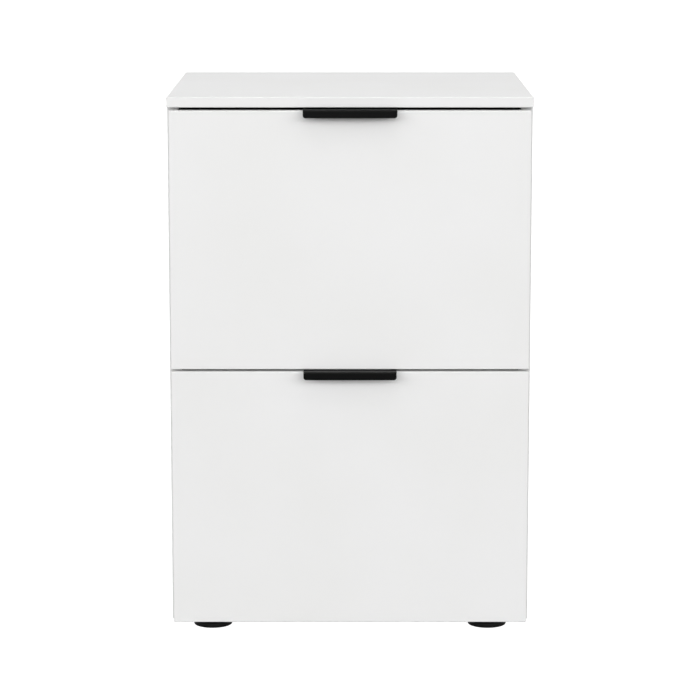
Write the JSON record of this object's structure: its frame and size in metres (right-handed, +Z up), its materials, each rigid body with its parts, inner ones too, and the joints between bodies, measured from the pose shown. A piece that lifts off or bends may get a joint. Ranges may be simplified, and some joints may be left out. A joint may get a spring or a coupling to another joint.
{
  "type": "filing cabinet",
  "caption": "White steel filing cabinet with full-width drawer fronts, edge pull handles, ball runners and round levelling feet.",
  "frame": {"origin": "centre of the whole object's footprint, handles included, on the floor", "axes": "+Z up, drawers open towards -Y, +X to the right when facing the drawers"},
  "size_m": [0.46, 0.436, 0.695],
  "materials": {
    "white_powder_coat": "fine-textured satin white powder coat",
    "black_powder_coat": "satin black powder coat",
    "zinc_steel": "bright zinc plate",
    "bearing_steel": "polished",
    "black_nylon": "moulded, lightly textured"
  },
  "bodies": {
    "cabinet": {"top_cover": "white_powder_coat", "base_pan": "white_powder_coat", "inner_top_panel": "black_powder_coat", "back_panel": "white_powder_coat", "middle_rail": "black_powder_coat", "left_side_panel": "white_powder_coat", "right_side_panel": "white_powder_coat", "left_front_post": "zinc_steel", "left_rear_post": "zinc_steel", "right_front_post": "zinc_steel", "right_rear_post": "zinc_steel", "front_left_foot_nut": "zinc_steel", "front_right_foot_nut": "zinc_steel", "rear_left_foot_nut": "zinc_steel", "rear_right_foot_nut": "zinc_steel", "lower_left_runner_outer": "zinc_steel", "lower_right_runner_outer": "zinc_steel", "upper_left_runner_outer": "zinc_steel", "upper_right_runner_outer": "zinc_steel"},
    "lower_drawer": {"lower_front_shell": "white_powder_coat", "lower_front_liner": "white_powder_coat", "lower_handle": "black_powder_coat", "lower_tray": "white_powder_coat", "lower_tray_back": "white_powder_coat", "lower_left_file_rail": "zinc_steel", "lower_right_file_rail": "zinc_steel", "lower_left_runner_inner": "zinc_steel", "lower_right_runner_inner": "zinc_steel"},
    "lower_middle_runners": {"lower_left_runner_middle": "zinc_steel", "lower_right_runner_middle": "zinc_steel"},
    "lower_outer_cages": {"lower_left_outer_ball_cage": "bearing_steel", "lower_right_outer_ball_cage": "bearing_steel"},
    "lower_inner_cages": {"lower_left_inner_ball_cage": "bearing_steel", "lower_right_inner_ball_cage": "bearing_steel"},
    "upper_drawer": {"upper_front_shell": "white_powder_coat", "upper_front_liner": "white_powder_coat", "upper_handle": "black_powder_coat", "upper_tray": "white_powder_coat", "upper_tray_back": "white_powder_coat", "upper_left_file_rail": "zinc_steel", "upper_right_file_rail": "zinc_steel", "upper_left_runner_inner": "zinc_steel", "upper_right_runner_inner": "zinc_steel"},
    "upper_middle_runners": {"upper_left_runner_middle": "zinc_steel", "upper_right_runner_middle": "zinc_steel"},
    "upper_outer_cages": {"upper_left_outer_ball_cage": "bearing_steel", "upper_right_outer_ball_cage": "bearing_steel"},
    "upper_inner_cages": {"upper_left_inner_ball_cage": "bearing_steel", "upper_right_inner_ball_cage": "bearing_steel"},
    "front_left_foot": {"front_left_foot_base": "black_nylon"},
    "front_left_stud": {"front_left_foot_stud": "zinc_steel"},
    "front_right_foot": {"front_right_foot_base": "black_nylon"},
    "front_right_stud": {"front_right_foot_stud": "zinc_steel"},
    "rear_left_foot": {"rear_left_foot_base": "black_nylon"},
    "rear_left_stud": {"rear_left_foot_stud": "zinc_steel"},
    "rear_right_foot": {"rear_right_foot_base": "black_nylon"},
    "rear_right_stud": {"rear_right_foot_stud": "zinc_steel"}
  },
  "joints": [
    {"name": "lower_drawer_slide", "type": "slide", "parent": "cabinet", "child": "lower_drawer", "axis": [0, -1, 0], "range_m": [0, 0.35]},
    {"name": "lower_middle_slide", "type": "slide", "parent": "cabinet", "child": "lower_middle_runners", "axis": [0, -1, 0], "range_m": [0, 0.175]},
    {"name": "lower_outer_cage_slide", "type": "slide", "parent": "cabinet", "child": "lower_outer_cages", "axis": [0, -1, 0], "range_m": [0, 0.0875]},
    {"name": "lower_inner_cage_slide", "type": "slide", "parent": "cabinet", "child": "lower_inner_cages", "axis": [0, -1, 0], "range_m": [0, 0.2625]},
    {"name": "upper_drawer_slide", "type": "slide", "parent": "cabinet", "child": "upper_drawer", "axis": [0, -1, 0], "range_m": [0, 0.35]},
    {"name": "upper_middle_slide", "type": "slide", "parent": "cabinet", "child": "upper_middle_runners", "axis": [0, -1, 0], "range_m": [0, 0.175]},
    {"name": "upper_outer_cage_slide", "type": "slide", "parent": "cabinet", "child": "upper_outer_cages", "axis": [0, -1, 0], "range_m": [0, 0.0875]},
    {"name": "upper_inner_cage_slide", "type": "slide", "parent": "cabinet", "child": "upper_inner_cages", "axis": [0, -1, 0], "range_m": [0, 0.2625]},
    {"name": "front_left_foot_height", "type": "slide", "parent": "cabinet", "child": "front_left_foot", "axis": [0, 0, -1], "range_m": [0, 0.01]},
    {"name": "front_left_stud_turn", "type": "hinge", "parent": "front_left_foot", "child": "front_left_stud", "pos_m": [-0.1795, -0.145, 0], "axis": [0, 0, 1], "range_deg": [0, 2881]},
    {"name": "front_right_foot_height", "type": "slide", "parent": "cabinet", "child": "front_right_foot", "axis": [0, 0, -1], "range_m": [0, 0.01]},
    {"name": "front_right_stud_turn", "type": "hinge", "parent": "front_right_foot", "child": "front_right_stud", "pos_m": [0.1795, -0.145, 0], "axis": [0, 0, 1], "range_deg": [0, 2881]},
    {"name": "rear_left_foot_height", "type": "slide", "parent": "cabinet", "child": "rear_left_foot", "axis": [0, 0, -1], "range_m": [0, 0.01]},
    {"name": "rear_left_stud_turn", "type": "hinge", "parent": "rear_left_foot", "child": "rear_left_stud", "pos_m": [-0.1795, 0.167, 0], "axis": [0, 0, 1], "range_deg": [0, 2881]},
    {"name": "rear_right_foot_height", "type": "slide", "parent": "cabinet", "child": "rear_right_foot", "axis": [0, 0, -1], "range_m": [0, 0.01]},
    {"name": "rear_right_stud_turn", "type": "hinge", "parent": "rear_right_foot", "child": "rear_right_stud", "pos_m": [0.1795, 0.167, 0], "axis": [0, 0, 1], "range_deg": [0, 2881]}
  ],
  "couplings": [
    {"joint": "lower_middle_slide", "follows": "lower_drawer_slide", "ratio": 0.5},
    {"joint": "lower_outer_cage_slide", "follows": "lower_drawer_slide", "ratio": 0.25},
    {"joint": "lower_inner_cage_slide", "follows": "lower_drawer_slide", "ratio": 0.75},
    {"joint": "upper_middle_slide", "follows": "upper_drawer_slide", "ratio": 0.5},
    {"joint": "upper_outer_cage_slide", "follows": "upper_drawer_slide", "ratio": 0.25},
    {"joint": "upper_inner_cage_slide", "follows": "upper_drawer_slide", "ratio": 0.75},
    {"joint": "front_left_stud_turn", "follows": "front_left_foot_height", "rad_per_m": 5026.5},
    {"joint": "front_right_stud_turn", "follows": "front_right_foot_height", "rad_per_m": 5026.5},
    {"joint": "rear_left_stud_turn", "follows": "rear_left_foot_height", "rad_per_m": 5026.5},
    {"joint": "rear_right_stud_turn", "follows": "rear_right_foot_height", "rad_per_m": 5026.5}
  ]
}
